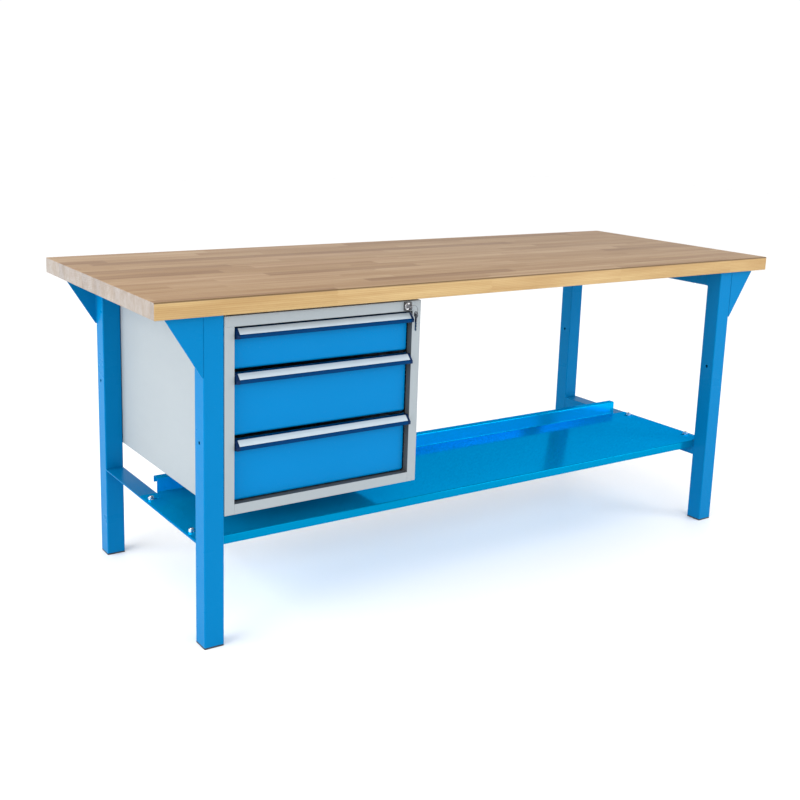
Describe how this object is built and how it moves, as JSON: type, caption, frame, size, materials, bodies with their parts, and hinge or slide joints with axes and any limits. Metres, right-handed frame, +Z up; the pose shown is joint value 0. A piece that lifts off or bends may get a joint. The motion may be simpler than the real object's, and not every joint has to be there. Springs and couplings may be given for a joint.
{
  "type": "workbench with drawers",
  "caption": "Workbench with a solid timber top on a steel frame, a folded steel lower shelf and a hung lockable cabinet of drawers on telescopic slides.",
  "frame": {"origin": "centre of the footprint, on the floor", "axes": "+X along the bench to the user's right, the user stands at -Y, +Z up"},
  "size_m": [2, 0.75, 0.84],
  "materials": {
    "beech": "oiled, finger-jointed staves",
    "frame_blue": "smooth gloss powder coat",
    "shelf_blue": "smooth gloss powder coat",
    "front_blue": "smooth gloss powder coat",
    "cabinet_grey": "smooth satin powder coat",
    "drawer_steel": "satin powder coat",
    "handle_aluminium": "satin anodised",
    "slide_steel": "zinc plated",
    "zinc": "bright zinc plated",
    "lock_chrome": "bright",
    "key_nickel": "nickel plated, slightly worn",
    "foot_plastic": "moulded"
  },
  "bodies": {
    "root": {"worktop": "beech", "leg_front_left": "frame_blue", "leg_front_right": "frame_blue", "leg_rear_left": "frame_blue", "leg_rear_right": "frame_blue", "foot_front_left": "foot_plastic", "foot_front_right": "foot_plastic", "foot_rear_left": "foot_plastic", "foot_rear_right": "foot_plastic", "gusset_front_left": "frame_blue", "gusset_front_right": "frame_blue", "gusset_rear_left": "frame_blue", "gusset_rear_right": "frame_blue", "top_beam_left": "frame_blue", "top_beam_right": "frame_blue", "lower_rail_left": "frame_blue", "lower_rail_right": "frame_blue", "shelf": "shelf_blue", "shelf_bolts": "zinc", "worktop_screws": "zinc", "cabinet_side_left": "cabinet_grey", "cabinet_side_right": "cabinet_grey", "cabinet_top": "cabinet_grey", "cabinet_bottom": "cabinet_grey", "cabinet_back": "cabinet_grey", "cabinet_hangers": "zinc", "slide_fixed_left_1": "slide_steel", "slide_fixed_right_1": "slide_steel", "slide_fixed_left_2": "slide_steel", "slide_fixed_right_2": "slide_steel", "slide_fixed_left_3": "slide_steel", "slide_fixed_right_3": "slide_steel", "lock_housing": "lock_chrome", "lock_bar_guides": "zinc"},
    "drawer_1": {"drawer_box_1": "drawer_steel", "drawer_front_1": "front_blue", "drawer_handle_1": "handle_aluminium", "slide_drawer_left_1": "slide_steel", "slide_drawer_right_1": "slide_steel"},
    "slide_middles_1": {"slide_middle_left_1": "slide_steel", "slide_middle_right_1": "slide_steel"},
    "drawer_2": {"drawer_box_2": "drawer_steel", "drawer_front_2": "front_blue", "drawer_handle_2": "handle_aluminium", "slide_drawer_left_2": "slide_steel", "slide_drawer_right_2": "slide_steel"},
    "slide_middles_2": {"slide_middle_left_2": "slide_steel", "slide_middle_right_2": "slide_steel"},
    "drawer_3": {"drawer_box_3": "drawer_steel", "drawer_front_3": "front_blue", "drawer_handle_3": "handle_aluminium", "slide_drawer_left_3": "slide_steel", "slide_drawer_right_3": "slide_steel"},
    "slide_middles_3": {"slide_middle_left_3": "slide_steel", "slide_middle_right_3": "slide_steel"},
    "lock_core": {"lock_barrel": "lock_chrome", "key": "key_nickel"},
    "locking_bar": {"lock_bar": "zinc"},
    "spare_keys": {"key_ring": "key_nickel", "spare_key": "key_nickel"}
  },
  "joints": [
    {"name": "drawer_1_slide", "type": "slide", "parent": "root", "child": "drawer_1", "axis": [0, -1, 0], "range_m": [0, 0.56]},
    {"name": "slide_middles_1_travel", "type": "slide", "parent": "root", "child": "slide_middles_1", "axis": [0, -1, 0], "range_m": [0, 0.28]},
    {"name": "drawer_2_slide", "type": "slide", "parent": "root", "child": "drawer_2", "axis": [0, -1, 0], "range_m": [0, 0.56]},
    {"name": "slide_middles_2_travel", "type": "slide", "parent": "root", "child": "slide_middles_2", "axis": [0, -1, 0], "range_m": [0, 0.28]},
    {"name": "drawer_3_slide", "type": "slide", "parent": "root", "child": "drawer_3", "axis": [0, -1, 0], "range_m": [0, 0.56]},
    {"name": "slide_middles_3_travel", "type": "slide", "parent": "root", "child": "slide_middles_3", "axis": [0, -1, 0], "range_m": [0, 0.28]},
    {"name": "lock_turn", "type": "hinge", "parent": "root", "child": "lock_core", "pos_m": [-0.331, -0.35, 0.7795], "axis": [0, -1, 0], "range_deg": [0, 90]},
    {"name": "lock_bar_drop", "type": "slide", "parent": "root", "child": "locking_bar", "axis": [0, 0, -1], "range_m": [0, 0.01]},
    {"name": "spare_key_swing", "type": "hinge", "parent": "root", "child": "spare_keys", "pos_m": [-0.331, -0.3668, 0.7795], "axis": [-1, 0, 0], "range_deg": [0, 30]}
  ],
  "couplings": [
    {"joint": "slide_middles_1_travel", "follows": "drawer_1_slide", "ratio": 0.5},
    {"joint": "slide_middles_2_travel", "follows": "drawer_2_slide", "ratio": 0.5},
    {"joint": "slide_middles_3_travel", "follows": "drawer_3_slide", "ratio": 0.5},
    {"joint": "lock_turn", "follows": "lock_bar_drop", "rad_per_m": 157.08}
  ]
}
